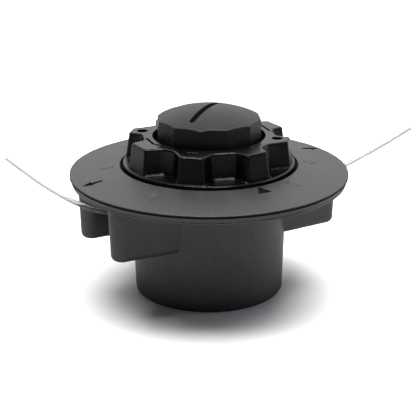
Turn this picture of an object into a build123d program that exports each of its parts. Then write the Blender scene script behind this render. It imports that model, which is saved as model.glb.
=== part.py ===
from build123d import *
import os
from math import atan, cos, degrees, radians, sin, sqrt, tan

# Bump feed head of a line trimmer. It stands on its collar with the bump cap upwards, and the
# machine's shaft comes in from below. Millimetres, +Z up the axis, origin at the collar's foot.
# Angles run anticlockwise from +X, seen from above. The head has a half-turn symmetry.

# Collar, the tube that goes round the machine's neck
socket_r = 27.0
collar_foot_wall = 2.65
collar_top_wall = 2.5
socket_depth = 12.0
shoulder_width = 1.0
foot_round = 0.8
rib_height = 8.0
rib_thickness = 1.8
rib_count = 4
boss_r = 14.0
web_thickness = 3.0

# Flange: the housing's lower plate and the cover plate on top of it
flange_r = 55.0
flange_bottom_z = 45.5
lower_plate_thickness = 2.1
rim_set_back = 0.5
rim_draft = 0.5
seam_height = 0.3
seam_depth = 0.9
cover_rim_thickness = 0.9
cover_rise = 3.0
cover_thickness = 1.8
cover_foot_width = 9.0
cover_edge_round = 0.3
bore_r = 35.0
bore_edge_round = 0.5
spigot_wall = 1.6
spigot_height = 2.0
recess_wall = 2.0
peg_r = 2.0
peg_ring_r = 40.3
peg_length = 1.3
peg_angles = (5.0, 59.0, 143.0, 185.0, 239.0, 323.0)

# Marks sunk into the cover's cone: sink rings over the pegs, turning arrows and locating marks
sink_ring_r = 2.65
sink_ring_width = 0.4
sink_ring_depth = 0.2
mark_depth = 0.45
arrow_places = ((49.1, 205.1), (49.5, 31.7))
arrow_outline = ((-4.2, -0.8), (0.0, -0.95), (-0.5, -2.2), (4.2, 0.0), (-0.5, 2.2), (0.0, 0.95), (-4.2, 0.8))
pointer_places = ((39.3, 301.1), (39.3, 121.1))
pointer_turn = 56.8
pointer_outline = ((-2.1, -3.1), (3.1, -0.2), (-2.1, 3.1))

# Forked arms round the two line outlets
arm_angles = {"left": 208.5, "right": 28.5}
arm_bottom_z = 23.6
finger_offset = 14.2
finger_tip_r = 4.8
finger_reach = 45.0
arm_root_half_width = 20.4
arm_draft = 1.8
arm_edge_round = 2.6
finger_wall = 2.2

# Cutting line, its outlets and its eyelets
line_d = 2.0
outlet_z = 38.0
eyelet_bore_r = 1.6
eyelet_wall = 1.3
eyelet_flange_r = 4.2
eyelet_flange_thickness = 1.2
eyelet_flare = 0.7
pad_r = 5.6
pad_out = 0.8

# Arbor, its fasteners and the ratchet disc
hex_across_flats = 17.0
hex_chamfer = 0.8
post_r = 8.0
shaft_thread_r = 4.32
shaft_thread_length = 18.0
flats_across = 13.0
flats_length = 12.0
disc_seat_r = 6.0
disc_seat_across = 9.0
ring_groove_depth = 0.6
retaining_ring_thickness = 0.9
retaining_ring_r = 9.8
retaining_ring_gap_angle = 14.0
disc_thickness = 2.0
washer_r = 7.0
washer_thickness = 1.0
screw_r = 2.5
screw_length = 10.0
screw_head_r = 4.4
screw_head_height = 3.0
screw_socket_across = 4.0
screw_socket_depth = 1.8

# Bump spring and its washers
bump_travel = 5.0
spring_wire_d = 1.6
spring_mean_r = 11.8
spring_turns = 4.5
seat_thickness = 0.8
seat_r = 13.6
thrust_washer_thickness = 0.8
thrust_washer_r = 13.8

# Spool and windings
spool_flange_r = 27.6
chamber_clearance = 0.8
drum_r = 20.4
drum_wall = 1.9
winding_height = 7.65
winding_set_in = 1.2
spool_flange_thickness = 1.6
divider_thickness = 1.2
spool_web_thickness = 2.4
hub_r = 10.6
anchor_hole_r = 1.4
hook_count = 4
hook_phase = 34.0
hook_half_angle = 7.0
hook_height = 6.8
hook_thickness = 1.4
hook_barb = 0.8
hook_barb_height = 1.6

# Ratchet teeth
tooth_count = 12
tooth_height = 2.2
tooth_width = 2.6
tooth_crest = 1.2
tooth_tip_gap = 0.3
upper_tooth_inner_r = 12.0
upper_tooth_outer_r = 17.4
lower_tooth_inner_r = 19.6
lower_tooth_outer_r = 25.0

# Twist knob
knob_disc_r = 33.9
knob_disc_thickness = 2.6
knob_disc_edge_round = 0.5
knob_ring_height = 10.3
knob_bore_r = 22.2
lobe_spans = ((-17.5, -5.0), (21.0, 41.0), (70.5, 85.5), (117.0, 133.5))
valley_spans = ((-1.5, 17.0), (48.0, 61.0), (92.0, 111.5), (139.5, 149.5))
lobe_top_r = 31.8
lobe_foot_set_back = 0.6
lobe_foot_spread = 1.2
lobe_corner_round = 1.3
lobe_depth = 5.6
valley_foot_out = 0.4
valley_root_profile = ((0.0, 1.0), (0.25, 0.45), (0.95, 0.0))
valley_corner_round = 3.0
knob_edge_round = 0.8
knob_floor_thickness = 2.0
knob_wall = 2.2
lobe_hole_r = 2.15
lobe_hole_inset = 4.9
lobe_hole_depth = 7.0
lobe_core_inset = 3.8
lobe_core_length = 5.4
lobe_core_width = 4.4
slit_width = 1.0
slit_depth = 5.0
slit_points = ((24.1, 5.5), (21.2, 13.2), (19.2, 14.6))
notch_points = ((8.0, 24.6), (4.2, 25.0))
notch_width = 0.6

# Bump cap
cap_sides = 12
cap_phase = -10.0
cap_corner_r = 20.55
cap_edge_z = 70.0
cap_dome_rise = 4.7
cap_draft = 1.0
cap_edge_round = 0.4
cap_wall = 2.0
cap_top_thickness = 3.4
cap_skirt_gap = 3.2
cap_stem_r = 11.8
cap_stem_wall = 2.8
coin_slot_width = 2.5
coin_slot_length = 32.0
coin_slot_depth = 2.0
coin_slot_angle = 65.5
lug_count = 3
lug_half_angle = 12.0
lug_out = 1.1
lug_height = 2.0
lug_lift = 0.6
lug_hub_wall = 2.2
lug_hub_height = 6.6

# Clearances
running_clearance = 0.06
fixed_clearance = 0.05
small_gap = 0.2
entry_play_angle = 1.5

# Free line ends: points chosen by hand along each route, from the eyelet outwards
line_routes = {
    "left": [(-24.8, -13.5, 38.0), (-31.0, -16.8, 38.0), (-41.0, -19.5, 37.2), (-52.0, -18.0, 41.3),
             (-61.5, -15.0, 45.6), (-70.4, -11.2, 50.6), (-78.6, -7.7, 55.8)],
    "right": [(24.8, 13.5, 38.0), (31.0, 16.8, 38.0), (40.5, 19.8, 38.4), (52.0, 23.4, 40.6),
              (63.0, 27.4, 45.1), (74.0, 31.0, 50.3), (84.8, 35.2, 55.9)],
}
arc_share = 0.45

# Heights that stack up from the collar's foot
web_z = socket_depth + rib_height
web_top_z = web_z + web_thickness
seat_top_z = web_top_z + seat_thickness
spool_z = web_top_z + tooth_tip_gap + bump_travel + tooth_height
lower_winding_z = spool_z + spool_flange_thickness
divider_z = lower_winding_z + winding_height
upper_winding_z = divider_z + divider_thickness
top_flange_z = upper_winding_z + winding_height
knob_z = top_flange_z + spool_flange_thickness
knob_disc_top_z = knob_z + knob_disc_thickness
knob_top_z = knob_disc_top_z + knob_ring_height
recess_z = knob_z - bump_travel - 3 * small_gap
spool_web_top_z = divider_z + spool_web_thickness
disc_z = spool_web_top_z + tooth_height + tooth_tip_gap
disc_top_z = disc_z + disc_thickness
knob_floor_z = disc_top_z + bump_travel + 2 * small_gap
knob_floor_top_z = knob_floor_z + knob_floor_thickness
lower_plate_top_z = flange_bottom_z + lower_plate_thickness
flange_top_z = lower_plate_top_z + seam_height + cover_rim_thickness
bore_top_z = flange_top_z + cover_rise
cap_bottom_z = knob_floor_top_z + cap_skirt_gap

# Radii that follow from the sizes above
chamber_r = spool_flange_r + chamber_clearance
collar_foot_r = socket_r + collar_foot_wall
collar_top_r = chamber_r + collar_top_wall
drum_bore_r = drum_r - drum_wall
winding_r = spool_flange_r - winding_set_in
valley_r = lobe_top_r - lobe_depth
lobe_hole_ring_r = lobe_top_r - lobe_hole_inset
lobe_core_r = lobe_top_r - lobe_core_inset
thread_end_z = socket_depth + shaft_thread_length
full_turn = 360.0
right_angle = 90.0


# Shared shapes


def polar(radius, angle):
    """Plan coordinates of a point at a radius and an angle in degrees."""
    return (radius * cos(radians(angle)), radius * sin(radians(angle)))


def turned(*profile):
    """Solid of revolution about the axis from (radius, height) corners."""
    return revolve(Plane.XZ * make_face(Polyline(*profile, close=True)), Axis.Z)


def ring(inner_r, outer_r, bottom_z, top_z):
    """Plain ring or washer on the axis."""
    return Pos(0, 0, bottom_z) * extrude(Circle(outer_r) - Circle(inner_r), top_z - bottom_z)


def rod(radius, bottom_z, top_z):
    """Plain round bar on the axis."""
    return Pos(0, 0, bottom_z) * extrude(Circle(radius), top_z - bottom_z)


def prism(section, bottom_z, top_z):
    """A plan section carried up between two heights."""
    return Pos(0, 0, bottom_z) * extrude(section, top_z - bottom_z)


def sector(inner_r, outer_r, half_angle, at_angle, bottom_z, top_z):
    """Piece of a ring that spans half_angle to each side of at_angle."""
    reach = 2 * outer_r
    corners = [(0, 0), polar(reach, at_angle - half_angle), polar(reach, at_angle + half_angle)]
    section = (Circle(outer_r) - Circle(inner_r)) & make_face(Polyline(*corners, close=True))
    return prism(section, bottom_z, top_z)


def flatted(radius, across_flats):
    """Plan of a round bar with two flats."""
    return Circle(radius) & Rectangle(across_flats, 2 * radius)


def along_radius(shape, start_r, angle, height):
    """A shape drawn up the Z axis, laid out along a radius of the head."""
    return Rot(0, 0, angle) * Pos(start_r, 0, height) * Rot(0, right_angle, 0) * shape


def plan_slot(start, end, width):
    """Round-ended slot in plan between two points."""
    run = Vector(*end) - Vector(*start)
    middle = (Vector(*start) + Vector(*end)) / 2
    turn = Rot(0, 0, Vector(1, 0, 0).get_signed_angle(run, Vector(0, 0, 1)))
    return Pos(middle.X, middle.Y) * turn * SlotCenterToCenter(run.length, width)


def edges_at(solid, height):
    """Edges of a solid whose middle is at a height."""
    tolerance = 0.01
    return solid.edges().filter_by_position(Axis.Z, height - tolerance, height + tolerance)


def ratchet_teeth(inner_r, outer_r, root_z, side, phase):
    """Saw teeth with an upright flank and a ramp; side is 1 to stand on root_z and -1 to hang."""
    half = tooth_width / 2
    profile = [(-side * half, 0), (side * half, 0), (side * half, side * tooth_height),
               (side * (half - tooth_crest), side * tooth_height)]
    section = make_face(Polyline(*profile, close=True))
    upright = Pos(inner_r, 0, root_z) * Rot(0, 0, right_angle) * Rot(right_angle, 0, 0)
    tooth = upright * extrude(section, outer_r - inner_r)
    return [Rot(0, 0, phase + full_turn / tooth_count * index) * tooth for index in range(tooth_count)]


# Housing: collar, web, recess ring, lower flange plate and forked arms in one moulding


def finger_plan(side, inset):
    """Plan of one finger in its arm's frame, X outwards, drawn inset from its faces."""
    near_x = socket_r * 0.75
    tip_r = finger_tip_r - inset
    inner_y = side * (finger_offset - tip_r)
    outer_y = side * (finger_offset + tip_r)
    root_y = side * (arm_root_half_width - inset)
    sides = Polyline((finger_reach, outer_y), (near_x, root_y), (near_x, inner_y), (finger_reach, inner_y))
    tip = ThreePointArc((finger_reach, inner_y), (finger_reach + tip_r, side * finger_offset),
                        (finger_reach, outer_y))
    return make_face(sides + tip)


def finger(side, angle):
    """One drafted finger of an arm, rounded along its lower edge."""
    lean = height_draft(flange_bottom_z - arm_bottom_z)
    foot = Pos(0, 0, arm_bottom_z) * finger_plan(side, lean)
    top = Pos(0, 0, flange_bottom_z) * finger_plan(side, 0)
    solid = loft([foot, top], ruled=True)
    lower = edges_at(solid, arm_bottom_z).filter_by(lambda edge: abs(edge.center().X) > socket_r)
    return Rot(0, 0, angle) * fillet(lower, arm_edge_round)


def finger_core(side, angle):
    """Pocket that cores a finger from above, clear of the recess ring and the locating pegs."""
    depth = lower_plate_top_z - arm_bottom_z - arm_edge_round - finger_wall
    section = Rot(0, 0, angle) * finger_plan(side, finger_wall + height_draft(depth))
    section -= Circle(bore_r + recess_wall + finger_wall)
    for peg_angle in peg_angles:
        section -= Pos(*polar(peg_ring_r, peg_angle)) * Circle(peg_r + finger_wall)
    return prism(section, lower_plate_top_z - depth, lower_plate_top_z)


def height_draft(height):
    """How far a drafted arm face leans over a height."""
    return height * tan(radians(arm_draft))


def housing():
    """The main moulding."""
    collar_slope = (collar_top_r - collar_foot_r) / flange_bottom_z
    ring_z = recess_z - recess_wall
    ring_r = bore_r + recess_wall
    body = turned((0, 0), (collar_foot_r, 0), (collar_foot_r + collar_slope * ring_z, ring_z),
                  (ring_r, ring_z), (ring_r, flange_bottom_z),
                  (flange_r - rim_set_back - rim_draft, flange_bottom_z),
                  (flange_r - rim_set_back, lower_plate_top_z),
                  (bore_r + spigot_wall, lower_plate_top_z),
                  (bore_r + spigot_wall, lower_plate_top_z + spigot_height),
                  (0, lower_plate_top_z + spigot_height))
    body = fillet(edges_at(body, 0), foot_round)
    pad_face_r = collar_foot_r + collar_slope * outlet_z + pad_out
    for angle in arm_angles.values():
        for side in (1, -1):
            body += finger(side, angle)
        body += along_radius(extrude(Circle(pad_r), pad_face_r - socket_r), socket_r, angle, outlet_z)
    body -= rod(bore_r, recess_z, bore_top_z)
    body -= rod(chamber_r, web_top_z, bore_top_z)
    shoulder_r = socket_r - shoulder_width
    body -= rod(socket_r, -foot_round, socket_depth)
    body -= rod(shoulder_r, socket_depth, web_z)
    body += prism(Circle(boss_r), socket_depth, web_z)
    rib_length = shoulder_r - boss_r + 2 * foot_round
    for index in range(rib_count):
        rib = Box(rib_length, rib_thickness, rib_height)
        turn = Rot(0, 0, full_turn / rib_count * (index + 0.5))
        body += turn * Pos((shoulder_r + boss_r) / 2, 0, web_z - rib_height / 2) * rib
    pocket = RegularPolygon(hex_across_flats / 2 + fixed_clearance, 6, major_radius=False)
    body -= prism(pocket, socket_depth, web_z)
    body -= rod(post_r + fixed_clearance, web_z, web_top_z)
    hole = extrude(Circle(eyelet_bore_r + eyelet_wall + fixed_clearance), pad_face_r)
    for angle in arm_angles.values():
        body -= along_radius(hole, drum_r, angle, outlet_z)
        for side in (1, -1):
            body -= finger_core(side, angle)
    for angle in peg_angles:
        socket_z = lower_plate_top_z - peg_length - small_gap
        body -= prism(Pos(*polar(peg_ring_r, angle)) * Circle(peg_r + fixed_clearance),
                      socket_z, lower_plate_top_z)
    half_pitch = full_turn / tooth_count / 2
    for tooth in ratchet_teeth(lower_tooth_inner_r, lower_tooth_outer_r, web_top_z, 1, half_pitch):
        body += tooth
    return body


# Cover plate: the upper half of the flange, a shallow cone with a rolled bore edge


def cover_plate():
    """The ring moulding that closes the flange from above."""
    slope = cover_rise / (flange_r - bore_r)

    def top_at(radius):
        return flange_top_z + slope * (flange_r - radius)

    seat_r_inner = bore_r + spigot_wall + fixed_clearance
    inner_foot_r = seat_r_inner + cover_thickness
    outer_foot_r = flange_r - cover_foot_width
    spigot_top_z = lower_plate_top_z + spigot_height + small_gap
    plate = turned((bore_r, bore_top_z), (flange_r, flange_top_z),
                   (flange_r, flange_top_z - cover_rim_thickness),
                   (flange_r - seam_depth, flange_top_z - cover_rim_thickness),
                   (flange_r - seam_depth, lower_plate_top_z),
                   (outer_foot_r, lower_plate_top_z),
                   (outer_foot_r, top_at(outer_foot_r) - cover_thickness),
                   (inner_foot_r, top_at(inner_foot_r) - cover_thickness),
                   (inner_foot_r, lower_plate_top_z), (seat_r_inner, lower_plate_top_z),
                   (seat_r_inner, spigot_top_z), (bore_r, spigot_top_z))
    plate = fillet(edges_at(plate, bore_top_z), bore_edge_round)
    plate = fillet(edges_at(plate, flange_top_z), cover_edge_round)
    peg_top_z = top_at(peg_ring_r) - cover_thickness / 2
    for angle in peg_angles:
        plate += prism(Pos(*polar(peg_ring_r, angle)) * Circle(peg_r),
                       lower_plate_top_z - peg_length, peg_top_z)

    def sunk(section, radius, angle, turn, depth):
        """A mark's section carried from its depth under the cone to clear above it."""
        lean = degrees(atan(slope))
        spot = Rot(0, 0, angle) * Pos(radius, 0, top_at(radius)) * Rot(0, lean, 0) * Rot(0, 0, turn)
        return spot * Pos(0, 0, -depth) * extrude(section, depth + cover_thickness)

    sink_ring = Circle(sink_ring_r + sink_ring_width / 2) - Circle(sink_ring_r - sink_ring_width / 2)
    for angle in peg_angles:
        plate -= sunk(sink_ring, peg_ring_r, angle, 0, sink_ring_depth)
    for radius, angle in arrow_places:
        arrow = make_face(Polyline(*arrow_outline, close=True))
        plate -= sunk(arrow, radius, angle, 0, mark_depth)
    for radius, angle in pointer_places:
        pointer = make_face(Polyline(*pointer_outline, close=True))
        plate -= sunk(pointer, radius, angle, pointer_turn, mark_depth)
    return plate


# Line outlets and free line ends


def line_eyelet(angle):
    """Flanged metal sleeve with a flared bore, pressed into the collar wall from outside."""
    slope = (collar_top_r - collar_foot_r) / flange_bottom_z
    pad_face_r = collar_foot_r + slope * outlet_z + pad_out
    inner_end_r = chamber_r + small_gap
    sleeve_length = pad_face_r - inner_end_r
    total = sleeve_length + eyelet_flange_thickness
    sleeve_r = eyelet_bore_r + eyelet_wall
    flare_r = eyelet_bore_r + eyelet_flare
    sleeve = turned((flare_r, 0), (sleeve_r, 0), (sleeve_r, sleeve_length),
                    (eyelet_flange_r, sleeve_length), (eyelet_flange_r, total), (flare_r, total),
                    (eyelet_bore_r, total - eyelet_flare), (eyelet_bore_r, eyelet_flare))
    return along_radius(sleeve, inner_end_r, angle, outlet_z)


def line_end(name):
    """Free end of cutting line: straight runs joined by tangent arcs."""
    points = [Vector(*point) for point in line_routes[name]]
    runs = [after - before for before, after in zip(points, points[1:])]
    radii = []
    for before, after in zip(runs, runs[1:]):
        half_turn = radians(before.get_angle(after)) / 2
        radii.append(arc_share * min(before.length, after.length) / tan(half_turn))
    path = FilletPolyline(*points, radius=radii)
    start = Plane(origin=points[0], z_dir=runs[0])
    tube = sweep(start * Circle(line_d / 2), path)
    section = Circle(line_d / 2).area
    print(name, "line radii", [round(radius, 1) for radius in radii],
          "length", round(path.length, 2), "volume / (section x length)",
          round(tube.volume / (section * path.length), 4))
    return tube


# Arbor, its retaining ring, and the ratchet disc with its washer and screw


def arbor():
    """Steel spindle: hexagon in the housing's boss, round post, two flats, seat for the disc."""
    hexagon = RegularPolygon(hex_across_flats / 2, 6, major_radius=False)
    body = prism(hexagon, socket_depth, web_z)
    body &= turned((0, socket_depth), (hex_across_flats / 2, socket_depth),
                   (hex_across_flats / 2 + 2 * hex_chamfer, socket_depth + hex_chamfer),
                   (hex_across_flats, web_z), (0, web_z))
    body += rod(post_r, web_z, disc_z - flats_length)
    body += prism(flatted(post_r, flats_across), disc_z - flats_length, disc_z)
    seat_top = disc_top_z - small_gap / 2
    body += prism(flatted(disc_seat_r, disc_seat_across), disc_z, seat_top)
    groove_top_z = web_top_z + retaining_ring_thickness + fixed_clearance
    body -= ring(post_r - ring_groove_depth, post_r + ring_groove_depth, web_top_z, groove_top_z)
    mouth_r = shaft_thread_r + hex_chamfer
    body -= turned((0, socket_depth), (mouth_r, socket_depth),
                   (shaft_thread_r, socket_depth + hex_chamfer), (shaft_thread_r, thread_end_z),
                   (0, thread_end_z + shaft_thread_r / 2))
    screw_hole_z = disc_top_z + washer_thickness - screw_length - small_gap
    body -= rod(screw_r + fixed_clearance, screw_hole_z, seat_top)
    return body


def arbor_retaining_ring():
    """Open steel ring that snaps into the post's groove and holds the arbor in the web."""
    top_z = web_top_z + retaining_ring_thickness
    inner_r = post_r - ring_groove_depth + fixed_clearance
    clip = ring(inner_r, retaining_ring_r, web_top_z, top_z)
    return clip - sector(post_r / 2, 2 * post_r, retaining_ring_gap_angle, 0, web_top_z, top_z)


def ratchet_disc():
    """Toothed steel disc keyed on the arbor's end; its teeth hang into the spool's."""
    outer_r = drum_bore_r - 3 * small_gap
    key = flatted(disc_seat_r + fixed_clearance, disc_seat_across + 2 * fixed_clearance)
    disc = prism(Circle(outer_r) - key, disc_z, disc_top_z)
    half_pitch = full_turn / tooth_count / 2
    for tooth in ratchet_teeth(upper_tooth_inner_r, upper_tooth_outer_r, disc_z, -1, half_pitch):
        disc += tooth
    return disc


def disc_washer():
    """Plain washer between the ratchet disc and its screw."""
    return ring(screw_r + fixed_clearance, washer_r, disc_top_z, disc_top_z + washer_thickness)


def disc_screw():
    """Cap screw with a hexagon socket that holds the ratchet disc on the arbor."""
    seat_z = disc_top_z + washer_thickness
    top_z = seat_z + screw_head_height
    screw = rod(screw_r, seat_z - screw_length, seat_z) + rod(screw_head_r, seat_z, top_z)
    socket = RegularPolygon(screw_socket_across / 2, 6, major_radius=False)
    return screw - prism(socket, top_z - screw_socket_depth, top_z)


# Bump spring between its seat on the web and the keyed thrust washer under the spool


def spring_seat():
    """Steel washer that keeps the spring off the plastic web."""
    return ring(retaining_ring_r + 2 * small_gap, seat_r, web_top_z, seat_top_z)


def thrust_washer():
    """Washer with two flats: it slides on the arbor with the spool but doesn't turn."""
    key = flatted(post_r + running_clearance, flats_across + 2 * running_clearance)
    return prism(Circle(thrust_washer_r) - key, divider_z - thrust_washer_thickness, divider_z)


def bump_spring():
    """Compression spring with plain ends, standing between the seat and the thrust washer."""
    top_z = divider_z - thrust_washer_thickness
    lift = spring_wire_d / 2 + fixed_clearance
    height = top_z - seat_top_z - 2 * lift
    path = Pos(0, 0, seat_top_z + lift) * Helix(height / spring_turns, height, spring_mean_r)
    return sweep(Plane(origin=path @ 0, z_dir=path % 0) * Circle(spring_wire_d / 2), path, is_frenet=True)


# Spool with its two windings


def spool():
    """Drum with two flanges and a divider, a bearing web, ratchet teeth and hooks for the knob."""
    body = turned((drum_bore_r, spool_z), (spool_flange_r, spool_z), (spool_flange_r, lower_winding_z),
                  (drum_r, lower_winding_z), (drum_r, divider_z), (spool_flange_r, divider_z),
                  (spool_flange_r, upper_winding_z), (drum_r, upper_winding_z), (drum_r, top_flange_z),
                  (spool_flange_r, top_flange_z), (spool_flange_r, knob_z), (drum_bore_r, knob_z),
                  (drum_bore_r, spool_web_top_z), (hub_r, spool_web_top_z), (hub_r, disc_z - small_gap),
                  (post_r + running_clearance, disc_z - small_gap),
                  (post_r + running_clearance, divider_z), (drum_bore_r, divider_z))
    for tooth in ratchet_teeth(upper_tooth_inner_r, upper_tooth_outer_r, spool_web_top_z, 1, 0):
        body += tooth
    for tooth in ratchet_teeth(lower_tooth_inner_r, lower_tooth_outer_r, spool_z, -1, 0):
        body += tooth
    hook_outer_r = drum_bore_r + hook_thickness
    barb_z = knob_floor_top_z + fixed_clearance
    for index in range(hook_count):
        angle = hook_phase + full_turn / hook_count * index
        body += sector(drum_bore_r, hook_outer_r, hook_half_angle, angle, knob_z, knob_z + hook_height)
        body += sector(drum_bore_r, hook_outer_r + hook_barb, hook_half_angle, angle,
                       barb_z, barb_z + hook_barb_height)
    hole = extrude(Circle(anchor_hole_r), 2 * drum_wall)
    for angle, winding_z in zip(arm_angles.values(), (lower_winding_z, upper_winding_z)):
        body -= along_radius(hole, drum_bore_r - drum_wall / 2, angle, winding_z + winding_height / 2)
    return body


def winding(bottom_z):
    """Closed ring of wound line, with the outer turns showing as ridges."""
    turns = round(winding_height / line_d)
    pitch = winding_height / turns
    ridge = line_d / 4
    core_r = winding_r - ridge
    outline = Polyline((core_r, bottom_z), (drum_r, bottom_z), (drum_r, bottom_z + winding_height),
                       (core_r, bottom_z + winding_height))
    edges = Curve() + outline
    for index in range(turns):
        start_z = bottom_z + index * pitch
        crest = (winding_r, start_z + pitch / 2)
        edges += ThreePointArc((core_r, start_z), crest, (core_r, start_z + pitch))
    return revolve(Plane.XZ * make_face(edges), Axis.Z)


# Twist knob: base disc with a ring of finger lobes


def lobed_plan(outer_r, inner_r, spread):
    """Plan of the knob's ring: finger lobes with rounded valleys, the same again after a half turn."""
    corners = []
    for turn in (0, full_turn / 2):
        for lobe, valley in zip(lobe_spans, valley_spans):
            corners.append(polar(outer_r, turn + lobe[0] - spread))
            corners.append(polar(outer_r, turn + lobe[1] + spread))
            corners.append(polar(inner_r, turn + valley[0] + spread / 2))
            corners.append(polar(inner_r, turn + valley[1] - spread / 2))
    plan = make_face(Polyline(*corners, close=True))
    middle_r = (outer_r + inner_r) / 2
    outer = plan.vertices().filter_by(lambda corner: sqrt(corner.X ** 2 + corner.Y ** 2) > middle_r)
    plan = fillet(outer, lobe_corner_round)
    inner = plan.vertices().filter_by(lambda corner: sqrt(corner.X ** 2 + corner.Y ** 2) < inner_r + small_gap)
    return fillet(inner, valley_corner_round)


def bayonet_sectors(half_angle, inner_r, outer_r, turn, bottom_z, top_z):
    """One sector for each bayonet lug or entry, turned from the cap's phase."""
    angles = [cap_phase + turn + full_turn / lug_count * index for index in range(lug_count)]
    return [sector(inner_r, outer_r, half_angle, angle, bottom_z, top_z) for angle in angles]


def twist_knob():
    """Base disc, lobed ring, floor and bayonet hub in one moulding."""
    lobe_foot_r = knob_disc_r - lobe_foot_set_back
    levels = []
    for height, root_out in (*valley_root_profile, (knob_ring_height, 0.0)):
        share = 1 - height / knob_ring_height
        outer_r = lobe_top_r + (lobe_foot_r - lobe_top_r) * share
        spread = lobe_foot_spread * share + degrees(root_out / lobe_foot_r)
        plan = lobed_plan(outer_r, valley_r + valley_foot_out * share + root_out, spread)
        levels.append(Pos(0, 0, knob_disc_top_z + height) * plan)
    lobes = loft(levels, ruled=True)
    lobes = fillet(edges_at(lobes, knob_top_z), knob_edge_round)
    disc = rod(knob_disc_r, knob_z, knob_disc_top_z)
    disc = fillet(edges_at(disc, knob_disc_top_z), knob_disc_edge_round)
    body = disc + lobes
    body -= rod(knob_bore_r, knob_floor_top_z, knob_top_z)
    body -= rod(drum_bore_r, knob_z, knob_floor_z)
    body -= rod(washer_r + 5 * small_gap, knob_z, knob_floor_top_z)
    groove_r = cap_stem_r + small_gap + lug_out
    hub_top_z = knob_floor_top_z + lug_hub_height
    lug_z = knob_floor_top_z + lug_lift
    body += ring(cap_stem_r + small_gap, groove_r + lug_hub_wall, knob_floor_top_z, hub_top_z)
    body -= ring(cap_stem_r, groove_r, lug_z - small_gap, lug_z + lug_height + small_gap)
    entry_half_angle = lug_half_angle + entry_play_angle
    entry_turn = full_turn / lug_count / 2
    for entry in bayonet_sectors(entry_half_angle, cap_stem_r, groove_r, entry_turn, lug_z, hub_top_z):
        body -= entry
    window_outer_r = drum_bore_r + hook_thickness + hook_barb + small_gap
    for index in range(hook_count):
        angle = hook_phase + full_turn / hook_count * index
        body -= sector(drum_bore_r - small_gap, window_outer_r, hook_half_angle + entry_play_angle / 3,
                       angle, knob_z, knob_floor_top_z)
    lobe_angles = [sum(span) / 2 for span in lobe_spans]
    for turn in (0, full_turn / 2):
        hole = Pos(*polar(lobe_hole_ring_r, turn + lobe_angles[0])) * Circle(lobe_hole_r)
        body -= prism(hole, knob_top_z - lobe_hole_depth, knob_top_z)
        for angle in lobe_angles[1:]:
            core = Pos(lobe_core_r, 0) * Rectangle(lobe_core_length, lobe_core_width)
            body -= prism(Rot(0, 0, turn + angle) * core, knob_z, knob_top_z - lobe_hole_depth)
    slits = plan_slot(slit_points[0], slit_points[1], slit_width)
    slits += plan_slot(slit_points[1], slit_points[2], slit_width)
    slits += plan_slot(notch_points[0], notch_points[1], notch_width)
    for turn in (0, full_turn / 2):
        body -= prism(Rot(0, 0, turn) * slits, knob_top_z - slit_depth, knob_top_z)
    return body


# Bump cap: twelve-sided skirt, domed top with a coin slot, and a bayonet stem


def bump_cap():
    """The wearing cap that is tapped on the ground; a half turn of a coin releases it."""
    dome_r = (cap_corner_r ** 2 + cap_dome_rise ** 2) / (2 * cap_dome_rise)
    apex_z = cap_edge_z + cap_dome_rise
    centre = Pos(0, 0, apex_z - dome_r)
    foot_corner_r = cap_corner_r + (cap_edge_z - cap_bottom_z) * tan(radians(cap_draft))
    section = Rot(0, 0, cap_phase) * RegularPolygon(foot_corner_r, cap_sides)
    skirt = extrude(Pos(0, 0, cap_bottom_z) * section, apex_z - cap_bottom_z, taper=cap_draft)
    body = skirt & (centre * Sphere(dome_r))
    dome_edges = body.edges().filter_by(lambda edge: abs(edge.center().Z - cap_edge_z) < cap_edge_round)
    body = fillet(dome_edges, cap_edge_round)
    flat_r = cap_corner_r * cos(radians(full_turn / cap_sides / 2))
    inner_top = centre * Sphere(dome_r - cap_top_thickness)
    body -= rod(flat_r - cap_wall, cap_bottom_z, apex_z) & inner_top
    stem_top_z = cap_edge_z + cap_dome_rise / 4
    body += ring(cap_stem_r - cap_stem_wall, cap_stem_r, knob_floor_top_z, stem_top_z)
    lug_z = knob_floor_top_z + lug_lift
    for lug in bayonet_sectors(lug_half_angle, cap_stem_r - cap_stem_wall / 2, cap_stem_r + lug_out, 0,
                               lug_z, lug_z + lug_height):
        body += lug
    slot = Rot(0, 0, coin_slot_angle) * SlotOverall(coin_slot_length, coin_slot_width)
    body -= prism(slot, cap_edge_z - coin_slot_depth, apex_z) - (centre * Sphere(dome_r - coin_slot_depth))
    return body


nodes = {
    "housing": housing(),
    "cover_plate": cover_plate(),
    "line_eyelet_left": line_eyelet(arm_angles["left"]),
    "line_eyelet_right": line_eyelet(arm_angles["right"]),
    "arbor": arbor(),
    "arbor_retaining_ring": arbor_retaining_ring(),
    "ratchet_disc": ratchet_disc(),
    "ratchet_disc_washer": disc_washer(),
    "ratchet_disc_screw": disc_screw(),
    "spring_seat": spring_seat(),
    "bump_spring": bump_spring(),
    "thrust_washer": thrust_washer(),
    "spool": spool(),
    "line_winding_lower": winding(lower_winding_z),
    "line_winding_upper": winding(upper_winding_z),
    "twist_knob": twist_knob(),
    "bump_cap": bump_cap(),
    "line_end_left": line_end("left"),
    "line_end_right": line_end("right"),
}

os.makedirs("parts", exist_ok=True)
for name, shape in nodes.items():
    export_step(shape, os.path.join("parts", name + ".step"))
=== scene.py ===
import math

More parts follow.
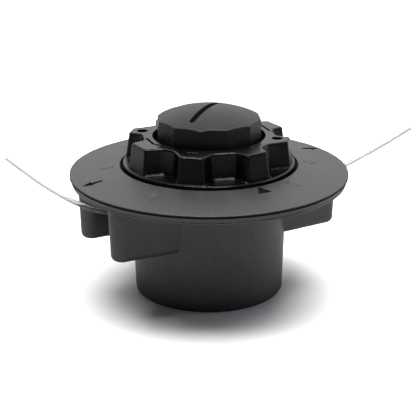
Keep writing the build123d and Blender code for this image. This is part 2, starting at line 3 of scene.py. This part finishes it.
import bmesh
import bpy
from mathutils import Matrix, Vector


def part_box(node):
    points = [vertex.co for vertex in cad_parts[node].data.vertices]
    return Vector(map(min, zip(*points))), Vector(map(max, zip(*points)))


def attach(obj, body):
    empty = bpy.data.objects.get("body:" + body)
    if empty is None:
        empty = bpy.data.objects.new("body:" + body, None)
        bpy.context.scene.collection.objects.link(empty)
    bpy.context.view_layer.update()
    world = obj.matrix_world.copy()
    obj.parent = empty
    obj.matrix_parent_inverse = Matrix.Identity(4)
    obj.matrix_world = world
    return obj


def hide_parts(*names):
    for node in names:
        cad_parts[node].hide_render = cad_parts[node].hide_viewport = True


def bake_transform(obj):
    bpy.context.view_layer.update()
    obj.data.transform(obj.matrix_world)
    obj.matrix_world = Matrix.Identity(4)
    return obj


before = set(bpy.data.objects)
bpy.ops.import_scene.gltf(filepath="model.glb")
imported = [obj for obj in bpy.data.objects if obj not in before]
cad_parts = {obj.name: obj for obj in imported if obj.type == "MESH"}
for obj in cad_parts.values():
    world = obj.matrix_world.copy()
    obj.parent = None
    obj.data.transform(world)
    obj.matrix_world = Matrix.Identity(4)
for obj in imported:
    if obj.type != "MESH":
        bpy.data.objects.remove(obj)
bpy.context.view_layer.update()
mm = 0.001

# Camera
# A long lens about half a metre away looks down on the head by 19 degrees, so the flange
# shows as a flat ellipse and the collar below it as an upright wall.
camera_tilt = 70.51
camera_data = bpy.data.cameras.new("camera")
camera_data.sensor_width = 36.0
camera_data.lens = 105.476
camera_data.shift_x = -0.00226
camera_data.clip_start = 0.01
camera_data.clip_end = 20.0
camera = bpy.data.objects.new("camera", camera_data)
camera.location = (0.0, -0.4602, 0.1954)
camera.rotation_euler = (math.radians(camera_tilt), 0.0, 0.0)
bpy.context.scene.collection.objects.link(camera)
bpy.context.scene.camera = camera
bpy.context.scene.view_settings.view_transform = "Standard"


# Floor, backdrop light and lamps
# The head stands on a seamless white sweep. It burns out to white round the object and keeps
# a soft, slightly blue shadow under the collar.
def shade(hex_colour):
    """Linear RGBA of an sRGB hex colour."""
    channels = [int(hex_colour[start:start + 2], 16) / 255 for start in (1, 3, 5)]
    linear = [c / 12.92 if c <= 0.04045 else ((c + 0.055) / 1.055) ** 2.4 for c in channels]
    return (*linear, 1.0)


def add_node(tree, kind, inputs=None, **settings):
    """Adds a node, sets its properties, and fills or links its sockets."""
    made = tree.nodes.new(kind)
    for name, value in settings.items():
        setattr(made, name, value)
    for socket, value in (inputs or {}).items():
        if isinstance(value, bpy.types.NodeSocket):
            tree.links.new(value, made.inputs[socket])
        else:
            made.inputs[socket].default_value = value
    return made


def new_material(name):
    """Empty node material and its tree, ready for a surface."""
    made = bpy.data.materials.new(name)
    made.use_nodes = True
    made.node_tree.nodes.clear()
    return made, made.node_tree


world = bpy.data.worlds.new("studio")
world.use_nodes = True
world.node_tree.nodes.clear()
sky = world.node_tree
rays = add_node(sky, "ShaderNodeLightPath")
direction = add_node(sky, "ShaderNodeTexCoord")
heading = add_node(sky, "ShaderNodeSeparateXYZ", {"Vector": direction.outputs["Generated"]})
behind = add_node(sky, "ShaderNodeMapRange", {"Value": heading.outputs["Y"], "From Min": -0.1,
                                              "From Max": 0.7, "To Min": 0.0, "To Max": 1.25},
                  interpolation_type="SMOOTHSTEP")
above = add_node(sky, "ShaderNodeMapRange", {"Value": heading.outputs["Z"], "From Min": 0.0,
                                             "From Max": 0.65, "To Min": 0.55, "To Max": 1.55})
sweep = add_node(sky, "ShaderNodeMath", {0: behind.outputs["Result"], 1: above.outputs["Result"]},
                 operation="MULTIPLY")
gloss_light = add_node(sky, "ShaderNodeBackground", {"Color": shade("#ffffff"),
                                                     "Strength": sweep.outputs[0]})
fill_light = add_node(sky, "ShaderNodeBackground", {"Color": shade("#eef0f6"), "Strength": 0.06})
white = add_node(sky, "ShaderNodeBackground", {"Color": shade("#ffffff"), "Strength": 1.0})
lit = add_node(sky, "ShaderNodeMixShader", {0: rays.outputs["Is Glossy Ray"], 1: fill_light.outputs[0],
                                            2: gloss_light.outputs[0]})
seen = add_node(sky, "ShaderNodeMath", {0: rays.outputs["Is Camera Ray"],
                                        1: rays.outputs["Is Transmission Ray"]}, operation="MAXIMUM")
world_mix = add_node(sky, "ShaderNodeMixShader", {0: seen.outputs[0], 1: lit.outputs[0],
                                                  2: white.outputs[0]})
add_node(sky, "ShaderNodeOutputWorld", {"Surface": world_mix.outputs[0]})
bpy.context.scene.world = world


def lamp(name, place, target, size, watts, colour, lights=True, gleams=True):
    """Soft rectangular lamp aimed at a point, which may only light or only gleam."""
    data = bpy.data.lights.new(name, "AREA")
    data.shape = "RECTANGLE"
    data.size, data.size_y = size
    data.energy = watts
    data.color = shade(colour)[:3]
    made = bpy.data.objects.new(name, data)
    made.location = place
    made.rotation_euler = (Vector(target) - Vector(place)).to_track_quat("-Z", "Y").to_euler()
    made.visible_diffuse = lights
    made.visible_glossy = gleams
    bpy.context.scene.collection.objects.link(made)


lamp("overhead_softbox", place=(0.0, 0.12, 0.78), target=(0.0, 0.0, 0.05), size=(1.0, 0.7),
     watts=24.0, colour="#fffdfa", gleams=False)
lamp("front_strip", place=(0.0, -0.24, 0.75), target=(0.0, 0.0, 0.05), size=(0.6, 0.16),
     watts=12.0, colour="#ffffff", lights=False)
lamp("right_strip", place=(0.70, 0.08, 0.30), target=(0.0, 0.0, 0.03), size=(0.15, 0.6),
     watts=0.8, colour="#f6f9ff")

floor_half_width = 6.0
floor_mesh = bpy.data.meshes.new("floor")
floor = bpy.data.objects.new("floor", floor_mesh)
sheet = bmesh.new()
bmesh.ops.create_grid(sheet, x_segments=1, y_segments=1, size=floor_half_width)
sheet.to_mesh(floor_mesh)
sheet.free()
floor_paper, paper = new_material("white_paper_sweep")
paper_rays = add_node(paper, "ShaderNodeLightPath")
paper_diffuse = add_node(paper, "ShaderNodeBsdfDiffuse", {"Color": shade("#f4f4f6")})
paper_glow = add_node(paper, "ShaderNodeEmission", {"Color": shade("#dcdcff"), "Strength": 0.01})
paper_sum = add_node(paper, "ShaderNodeAddShader", {0: paper_diffuse.outputs[0], 1: paper_glow.outputs[0]})
paper_plain = add_node(paper, "ShaderNodeBsdfDiffuse", {"Color": shade("#a4a4a4")})
paper_mix = add_node(paper, "ShaderNodeMixShader", {0: paper_rays.outputs["Is Camera Ray"],
                                                    1: paper_plain.outputs[0], 2: paper_sum.outputs[0]})
add_node(paper, "ShaderNodeOutputMaterial", {"Surface": paper_mix.outputs[0]})
floor_mesh.materials.append(floor_paper)
bpy.context.scene.collection.objects.link(floor)


# Cutting line, the two free ends
# Round nylon monofilament, 2 mm thick, drawn clear. It keeps the curl of its reel and stands out
# stiffly from the eyelets; both ends are cut square.
line_d = 2.0 * mm
line_routes = {
    "left": [(-24.8, -13.5, 38.0), (-31.0, -16.8, 38.0), (-41.0, -19.5, 37.2), (-52.0, -18.0, 41.3),
             (-61.5, -15.0, 45.6), (-70.4, -11.2, 50.6), (-78.6, -7.7, 55.8)],
    "right": [(24.8, 13.5, 38.0), (31.0, 16.8, 38.0), (40.5, 19.8, 38.4), (52.0, 23.4, 40.6),
              (63.0, 27.4, 45.1), (74.0, 31.0, 50.3), (84.8, 35.2, 55.9)],
}

# Clear drawn nylon: a glassy skin over a slightly milky core, so it reads white on white and
# picks up blue-grey from what is behind it. Its haze comes and goes about every 4.5 mm.
haze_per_metre = 220.0
clear_nylon, line_tree = new_material("clear_drawn_nylon")
line_place = add_node(line_tree, "ShaderNodeTexCoord")
line_haze = add_node(line_tree, "ShaderNodeTexNoise", {"Vector": line_place.outputs["Object"],
                                                       "Scale": haze_per_metre, "Detail": 3.0})
line_rough = add_node(line_tree, "ShaderNodeMapRange", {"Value": line_haze.outputs["Fac"],
                                                        "To Min": 0.12, "To Max": 0.3})
line_tint = add_node(line_tree, "ShaderNodeMix", {"Factor": line_haze.outputs["Fac"],
                                                  6: shade("#cfd0d1"), 7: shade("#dcdddc")},
                     data_type="RGBA")
line_surface = add_node(line_tree, "ShaderNodeBsdfPrincipled", {
    "Base Color": line_tint.outputs[2], "Roughness": line_rough.outputs["Result"],
    "IOR": 1.53, "Specular IOR Level": 0.2, "Transmission Weight": 0.9})
add_node(line_tree, "ShaderNodeOutputMaterial", {"Surface": line_surface.outputs[0]})

for side, route in line_routes.items():
    curve = bpy.data.curves.new("free_line_" + side, "CURVE")
    curve.dimensions = "3D"
    curve.bevel_depth = line_d / 2
    curve.bevel_resolution = 6
    curve.resolution_u = 16
    curve.use_fill_caps = True
    spline = curve.splines.new("NURBS")
    spline.points.add(len(route) - 1)
    for point, place in zip(spline.points, route):
        point.co = (*[value * mm for value in place], 1.0)
    spline.order_u = 3
    spline.use_endpoint_u = True
    free_line = bpy.data.objects.new("free_line_" + side, curve)
    bpy.context.scene.collection.objects.link(free_line)
    curve.materials.append(clear_nylon)
    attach(free_line, "head")
    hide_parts("line_end_" + side)


# Housing
# Injection moulding in black glass-filled nylon: collar, lower flange and forked arms in one. The
# tool was spark eroded, so the skin has a fine even grain.
def refinish(material, *node_names):
    """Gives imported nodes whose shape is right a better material."""
    for node_name in node_names:
        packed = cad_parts[node_name].data
        packed.materials.clear()
        packed.materials.append(material)


flow_mm, speck_mm, grain_relief_mm = 14.0, 0.9, 0.1
gloss_swing = 0.05


def moulded_plastic(name, dark, light, roughness, gleam, grain_mm, grain_depth, edge_mm):
    """Spark-eroded black thermoplastic: even grain, faint flow clouds and slightly soft edges."""
    made, tree = new_material(name)
    place = add_node(tree, "ShaderNodeTexCoord")
    grain = add_node(tree, "ShaderNodeTexNoise", {"Vector": place.outputs["Object"],
                                                  "Scale": 1.0 / (grain_mm * mm), "Detail": 2.5,
                                                  "Roughness": 0.6})
    flow = add_node(tree, "ShaderNodeTexNoise", {"Vector": place.outputs["Object"],
                                                 "Scale": 1.0 / (flow_mm * mm), "Detail": 5.0})
    speck = add_node(tree, "ShaderNodeTexNoise", {"Vector": place.outputs["Object"],
                                                  "Scale": 1.0 / (speck_mm * mm), "Detail": 2.0})
    cloud = add_node(tree, "ShaderNodeMath", {0: flow.outputs["Fac"], 1: speck.outputs["Fac"]},
                     operation="MULTIPLY")
    spread = add_node(tree, "ShaderNodeMapRange", {"Value": cloud.outputs[0], "From Min": 0.12,
                                                   "From Max": 0.42})
    tone = add_node(tree, "ShaderNodeMix", {"Factor": spread.outputs["Result"], 6: shade(dark),
                                            7: shade(light)}, data_type="RGBA")
    gloss = add_node(tree, "ShaderNodeMapRange", {"Value": flow.outputs["Fac"], "From Min": 0.3,
                                                  "From Max": 0.7, "To Min": roughness - gloss_swing,
                                                  "To Max": roughness + gloss_swing})
    edge = add_node(tree, "ShaderNodeBevel", {"Radius": edge_mm * mm}, samples=6)
    bump = add_node(tree, "ShaderNodeBump", {"Height": grain.outputs["Fac"], "Strength": grain_depth,
                                             "Distance": grain_relief_mm * mm,
                                             "Normal": edge.outputs["Normal"]})
    surface = add_node(tree, "ShaderNodeBsdfPrincipled", {
        "Base Color": tone.outputs[2], "Roughness": gloss.outputs["Result"],
        "IOR": 1.54, "Specular IOR Level": gleam, "Normal": bump.outputs["Normal"]})
    add_node(tree, "ShaderNodeOutputMaterial", {"Surface": surface.outputs[0]})
    return made


# Coloured lighter than the cover's same nylon, as painted light on the collar and arms.
housing_nylon_painted_light = moulded_plastic("moulded_glass_filled_nylon_painted_light", dark="#313131", light="#444445",
                                roughness=0.5, gleam=0.5, grain_mm=0.6, grain_depth=1.0, edge_mm=0.25)
refinish(housing_nylon_painted_light, "housing")


# Cover plate and its marks
# The shallow cone welded on the housing, in the same nylon. Its turning arrows and pointers are
# engraved 0.45 mm deep; their floors are left rough and hold no gleam, and are coloured near-black
# as painted shade of the recesses.
cover_nylon = moulded_plastic("moulded_cover_nylon", dark="#121212", light="#242425", roughness=0.46,
                              gleam=0.42, grain_mm=0.6, grain_depth=1.4, edge_mm=0.25)
cover_rim_r, cover_rim_z = 55.0 * mm, 48.8 * mm
cover_slope = 0.15
mark_depth, mark_band = 0.45 * mm, 0.17 * mm
marked_r, marked_band = 44.0 * mm, 10.0 * mm
mark_grain_mm = 0.6
cover_tree = cover_nylon.node_tree
cover_skin = next(node for node in cover_tree.nodes if node.type == "BSDF_PRINCIPLED")
cover_end = next(node for node in cover_tree.nodes if node.type == "OUTPUT_MATERIAL")
cover_place = add_node(cover_tree, "ShaderNodeTexCoord")
cover_axes = add_node(cover_tree, "ShaderNodeSeparateXYZ", {"Vector": cover_place.outputs["Object"]})
cover_plan = add_node(cover_tree, "ShaderNodeCombineXYZ", {"X": cover_axes.outputs["X"],
                                                           "Y": cover_axes.outputs["Y"]})
cover_radius = add_node(cover_tree, "ShaderNodeVectorMath", {0: cover_plan.outputs["Vector"]},
                        operation="LENGTH")
face_height = add_node(cover_tree, "ShaderNodeMath", {0: cover_radius.outputs["Value"], 1: -cover_slope,
                                                      2: cover_rim_z + cover_slope * cover_rim_r},
                       operation="MULTIPLY_ADD")
sunk_by = add_node(cover_tree, "ShaderNodeMath", {0: face_height.outputs[0], 1: cover_axes.outputs["Z"]},
                   operation="SUBTRACT")
at_depth = add_node(cover_tree, "ShaderNodeMath", {0: sunk_by.outputs[0], 1: mark_depth, 2: mark_band},
                    operation="COMPARE")
on_face = add_node(cover_tree, "ShaderNodeMath", {0: cover_radius.outputs["Value"], 1: marked_r,
                                                  2: marked_band}, operation="COMPARE")
in_painted_shade_mark = add_node(cover_tree, "ShaderNodeMath", {0: at_depth.outputs[0], 1: on_face.outputs[0]},
                   operation="MULTIPLY")
mark_noise = add_node(cover_tree, "ShaderNodeTexNoise", {"Vector": cover_place.outputs["Object"],
                                                         "Scale": 1.0 / (mark_grain_mm * mm),
                                                         "Detail": 2.0})
# The mark floors' near-black colour is painted shade of the 0.45 mm recesses.
mark_painted_shade_tone = add_node(cover_tree, "ShaderNodeMix", {"Factor": mark_noise.outputs["Fac"],
                                                   6: shade("#060606"), 7: shade("#101011")},
                     data_type="RGBA")
mark_floor_painted_shade = add_node(cover_tree, "ShaderNodeBsdfPrincipled", {
    "Base Color": mark_painted_shade_tone.outputs[2], "Roughness": 0.95, "Specular IOR Level": 0.05})
cover_mix = add_node(cover_tree, "ShaderNodeMixShader", {0: in_painted_shade_mark.outputs[0], 1: cover_skin.outputs[0],
                                                         2: mark_floor_painted_shade.outputs[0]})
cover_tree.links.new(cover_mix.outputs[0], cover_end.inputs["Surface"])
refinish(cover_nylon, "cover_plate")


# Witness pads over the weld pegs
# Each of the six pegs under the cover leaves a low round pad with a soft edge in its face. The
# pads follow the cone and stand 0.18 mm proud.
pad_r, pad_lift, pad_sunk = 2.95 * mm, 0.18 * mm, 0.15 * mm
pad_profile = ((0.5, 1.0), (0.86, 0.97), (0.93, 0.8), (0.98, 0.45), (1.0, 0.0))
pad_segments = 40
peg_ring_r = 40.3 * mm
peg_angles = (5.0, 59.0, 143.0, 185.0, 239.0, 323.0)


def cone_height(x, y):
    """Height of the cover's face over a point."""
    return cover_rim_z + cover_slope * (cover_rim_r - math.hypot(x, y))


def smooth_piece(name, form, material):
    """Scene object from finished mesh code, shaded smooth, in one material."""
    mesh = bpy.data.meshes.new(name)
    form.to_mesh(mesh)
    form.free()
    mesh.shade_smooth()
    mesh.materials.append(material)
    made = bpy.data.objects.new(name, mesh)
    bpy.context.scene.collection.objects.link(made)
    return made


pads = bmesh.new()
for angle in peg_angles:
    bearing = math.radians(angle)
    heart = Vector((peg_ring_r * math.cos(bearing), peg_ring_r * math.sin(bearing)))
    rings = []
    for share, lift in pad_profile:
        ring = []
        for step in range(pad_segments):
            turn = math.tau * step / pad_segments
            x = heart.x + pad_r * share * math.cos(turn)
            y = heart.y + pad_r * share * math.sin(turn)
            rise = lift * (pad_lift + pad_sunk) - pad_sunk
            ring.append(pads.verts.new((x, y, cone_height(x, y) + rise)))
        rings.append(ring)
    top = pads.verts.new((heart.x, heart.y, cone_height(heart.x, heart.y) + pad_lift))
    for step in range(pad_segments):
        following = (step + 1) % pad_segments
        pads.faces.new((top, rings[0][step], rings[0][following]))
        for inner, outer in zip(rings, rings[1:]):
            pads.faces.new((inner[step], outer[step], outer[following], inner[following]))
witness_pads = smooth_piece("weld_witness_pads", pads, cover_nylon)
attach(witness_pads, "head")


# Weld seam shadow and flash
# A matt black ring fills the gap under the cover's rim as a painted shadow line, and a thin bead
# of flash runs round the lower edge of the rim, coloured light as a painted highlight.
ring_steps = 256
merge_distance = 0.0001 * mm
waves = ((17, 1.0, 0.0), (41, 0.6, 1.0), (97, 0.4, 0.0))


def lathe_ring(name, section, material, wobble=0.0):
    """Closed ring of a radius and height section, which may waver a little round its run."""
    ring = bmesh.new()
    loop = [ring.verts.new((radius * mm, 0, height * mm)) for radius, height in section]
    for start, end in zip(loop, loop[1:] + loop[:1]):
        ring.edges.new((start, end))
    bmesh.ops.spin(ring, geom=ring.verts[:] + ring.edges[:], cent=(0, 0, 0), axis=(0, 0, 1),
                   angle=math.tau, steps=ring_steps, use_merge=True, use_duplicate=False)
    bmesh.ops.remove_doubles(ring, verts=ring.verts, dist=merge_distance)
    bmesh.ops.recalc_face_normals(ring, faces=ring.faces)
    for vert in ring.verts:
        bearing = math.atan2(vert.co.y, vert.co.x)
        waver = sum(height * math.sin(count * bearing + phase) for count, height, phase in waves)
        vert.co.z += wobble * mm * waver
    made = smooth_piece(name, ring, material)
    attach(made, "head")


seam_shadow_mottle_mm, seam_shadow_relief_mm = 1.2, 0.05
# Painted shadow: a matt near-black ring stands in for the shade in the gap under the cover's rim.
seam_painted_shadow, seam_shadow_tree = new_material("seam_painted_shadow_black")
seam_shadow_place = add_node(seam_shadow_tree, "ShaderNodeTexCoord")
seam_shadow_noise = add_node(seam_shadow_tree, "ShaderNodeTexNoise", {"Vector": seam_shadow_place.outputs["Object"],
                                                        "Scale": 1.0 / (seam_shadow_mottle_mm * mm), "Detail": 3.0})
seam_shadow_tone = add_node(seam_shadow_tree, "ShaderNodeMix", {"Factor": seam_shadow_noise.outputs["Fac"],
                                                  6: shade("#040404"), 7: shade("#0e0e0e")},
                     data_type="RGBA")
seam_shadow_bump = add_node(seam_shadow_tree, "ShaderNodeBump", {"Height": seam_shadow_noise.outputs["Fac"], "Strength": 0.5,
                                                   "Distance": seam_shadow_relief_mm * mm})
seam_shadow_surface = add_node(seam_shadow_tree, "ShaderNodeBsdfPrincipled", {
    "Base Color": seam_shadow_tone.outputs[2], "Roughness": 0.9, "Specular IOR Level": 0.08,
    "Normal": seam_shadow_bump.outputs["Normal"]})
add_node(seam_shadow_tree, "ShaderNodeOutputMaterial", {"Surface": seam_shadow_surface.outputs[0]})
seam_low_z, seam_top_z, seam_back_r, seam_face_r, seam_chamfer = 47.55, 48.42, 54.3, 55.03, 0.35
lathe_ring("seam_painted_shadow_ring", ((seam_back_r, seam_low_z), (seam_face_r - seam_chamfer, seam_low_z),
                         (seam_face_r, seam_low_z + seam_chamfer), (seam_face_r, seam_top_z),
                         (seam_back_r, seam_top_z)), seam_painted_shadow)

# The flash bead is real, but its colour, lighter than the housing nylon, is a painted highlight on the
# rim's lower edge.
flash_painted_highlight = moulded_plastic("moulded_flash_painted_highlight", dark="#3a3a3b", light="#5a5a5c", roughness=0.35,
                               gleam=0.8, grain_mm=0.6, grain_depth=0.4, edge_mm=0.05)
flash_r, flash_z, flash_size, flash_wobble = 54.05, 45.5, 0.2, 0.04
flash_sides = 8
flash_turns = [math.tau * step / flash_sides for step in range(flash_sides)]
flash_section = [(flash_r + flash_size * math.cos(turn), flash_z + flash_size * math.sin(turn))
                 for turn in flash_turns]
lathe_ring("moulding_flash", flash_section, flash_painted_highlight, wobble=flash_wobble)


# Twist knob
# Black nylon again, from a smoother tool, so the lobes are glossier than the flange and their
# round edges catch the light.
knob_nylon = moulded_plastic("moulded_nylon_smooth_tool", dark="#020202", light="#070707",
                             roughness=0.26, gleam=0.2, grain_mm=0.5, grain_depth=0.8, edge_mm=0.5)
refinish(knob_nylon, "twist_knob")


# Bump cap
# A separate wearing cap in tough black nylon, twelve-sided at the skirt so a hand can turn it,
# domed on top and slotted for a coin.
cap_nylon = moulded_plastic("moulded_tough_nylon", dark="#080808", light="#131313", roughness=0.38,
                            gleam=0.22, grain_mm=0.7, grain_depth=3.0, edge_mm=0.3)
refinish(cap_nylon, "bump_cap")


# Spool and windings
# The spool is moulded in natural grey acetal, which is waxy and slides dry. It is hidden in the
# closed head, with its line, and shows when the parts are looked at singly.
cloud_mm = 9.0
spool_acetal, spool_tree = new_material("moulded_grey_acetal")
spool_place = add_node(spool_tree, "ShaderNodeTexCoord")
spool_cloud = add_node(spool_tree, "ShaderNodeTexNoise", {"Vector": spool_place.outputs["Object"],
                                                          "Scale": 1.0 / (cloud_mm * mm), "Detail": 4.0})
spool_tone = add_node(spool_tree, "ShaderNodeMix", {"Factor": spool_cloud.outputs["Fac"],
                                                    6: shade("#5a5c60"), 7: shade("#6a6c70")},
                      data_type="RGBA")
spool_rough = add_node(spool_tree, "ShaderNodeMapRange", {"Value": spool_cloud.outputs["Fac"],
                                                          "To Min": 0.32, "To Max": 0.46})
spool_surface = add_node(spool_tree, "ShaderNodeBsdfPrincipled", {
    "Base Color": spool_tone.outputs[2], "Roughness": spool_rough.outputs["Result"], "IOR": 1.48})
add_node(spool_tree, "ShaderNodeOutputMaterial", {"Surface": spool_surface.outputs[0]})
refinish(spool_acetal, "spool")
refinish(clear_nylon, "line_winding_lower", "line_winding_upper")


# Steel parts
# Turned and stamped mild steel with a clear zinc coat: fine turning lines round the axis and a
# slightly cloudy shine. The spring, clip and screw are oiled black instead. The turning lines
# repeat every 0.314 of turning_mm, so they lie 0.6 mm apart, coarser than real ones, to show.
turning_mm, stain_mm, turning_relief_mm = 2.0, 3.0, 0.02
gloss_below, gloss_above = 0.06, 0.1


def coated_steel(name, dark, light, roughness, metallic):
    """Turned metal under a thin coat or film, with fine rings round the axis."""
    made, tree = new_material(name)
    place = add_node(tree, "ShaderNodeTexCoord")
    turning = add_node(tree, "ShaderNodeTexWave", {"Vector": place.outputs["Object"],
                                                   "Scale": 1.0 / (turning_mm * mm), "Distortion": 1.5,
                                                   "Detail": 2.0},
                       wave_type="RINGS", rings_direction="Z")
    cloud = add_node(tree, "ShaderNodeTexNoise", {"Vector": place.outputs["Object"],
                                                  "Scale": 1.0 / (stain_mm * mm), "Detail": 4.0})
    tone = add_node(tree, "ShaderNodeMix", {"Factor": cloud.outputs["Fac"], 6: shade(dark),
                                            7: shade(light)}, data_type="RGBA")
    gloss = add_node(tree, "ShaderNodeMapRange", {"Value": cloud.outputs["Fac"],
                                                  "To Min": roughness - gloss_below,
                                                  "To Max": roughness + gloss_above})
    bump = add_node(tree, "ShaderNodeBump", {"Height": turning.outputs["Fac"], "Strength": 0.15,
                                             "Distance": turning_relief_mm * mm})
    surface = add_node(tree, "ShaderNodeBsdfPrincipled", {
        "Base Color": tone.outputs[2], "Roughness": gloss.outputs["Result"],
        "Metallic": metallic, "Normal": bump.outputs["Normal"]})
    add_node(tree, "ShaderNodeOutputMaterial", {"Surface": surface.outputs[0]})
    return made


zinc_steel = coated_steel("zinc_plated_turned_steel", dark="#9a9c9e", light="#b8babd", roughness=0.32,
                          metallic=1.0)
refinish(zinc_steel, "arbor", "ratchet_disc", "ratchet_disc_washer", "spring_seat", "thrust_washer")
oiled_steel = coated_steel("oiled_black_steel", dark="#2e2e30", light="#48484a", roughness=0.38,
                           metallic=0.9)
refinish(oiled_steel, "arbor_retaining_ring", "ratchet_disc_screw")


# Bump spring
# Four and a half open turns of 1.6 mm wire, standing on the seat and reaching up to the thrust
# washer.
wire_r, coil_r, coil_turns = 0.8 * mm, 11.8 * mm, 4.5
wire_sides, turn_steps = 14, 56
spring_foot, spring_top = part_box("bump_spring")
coil_foot_z, coil_top_z = spring_foot[2] + wire_r, spring_top[2] - wire_r
coil_steps = int(coil_turns * turn_steps)
coil = bmesh.new()
coil_rings = []
for step in range(coil_steps + 1):
    turn = math.tau * step / turn_steps
    height = coil_foot_z + (coil_top_z - coil_foot_z) * step / coil_steps
    ring = []
    for side in range(wire_sides):
        around = math.tau * side / wire_sides
        reach = coil_r + wire_r * math.cos(around)
        ring.append(coil.verts.new((reach * math.cos(turn), reach * math.sin(turn),
                                    height + wire_r * math.sin(around))))
    coil_rings.append(ring)
for lower, upper in zip(coil_rings, coil_rings[1:]):
    for side in range(wire_sides):
        following = (side + 1) % wire_sides
        coil.faces.new((lower[side], lower[following], upper[following], upper[side]))
coil.faces.new(coil_rings[0])
coil.faces.new(coil_rings[-1])
bmesh.ops.recalc_face_normals(coil, faces=coil.faces)
coil_spring = smooth_piece("bump_spring_coil", coil, oiled_steel)
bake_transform(coil_spring)
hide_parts("bump_spring")


# Line eyelets
# Flanged sleeves of drawn aluminium, pressed in from outside so the line doesn't saw through
# the collar. Drawing leaves the metal satin, and handling dulls it.
drawn_aluminium = coated_steel("drawn_aluminium", dark="#8d9093", light="#a9acae", roughness=0.4,
                               metallic=1.0)
refinish(drawn_aluminium, "line_eyelet_left", "line_eyelet_right")
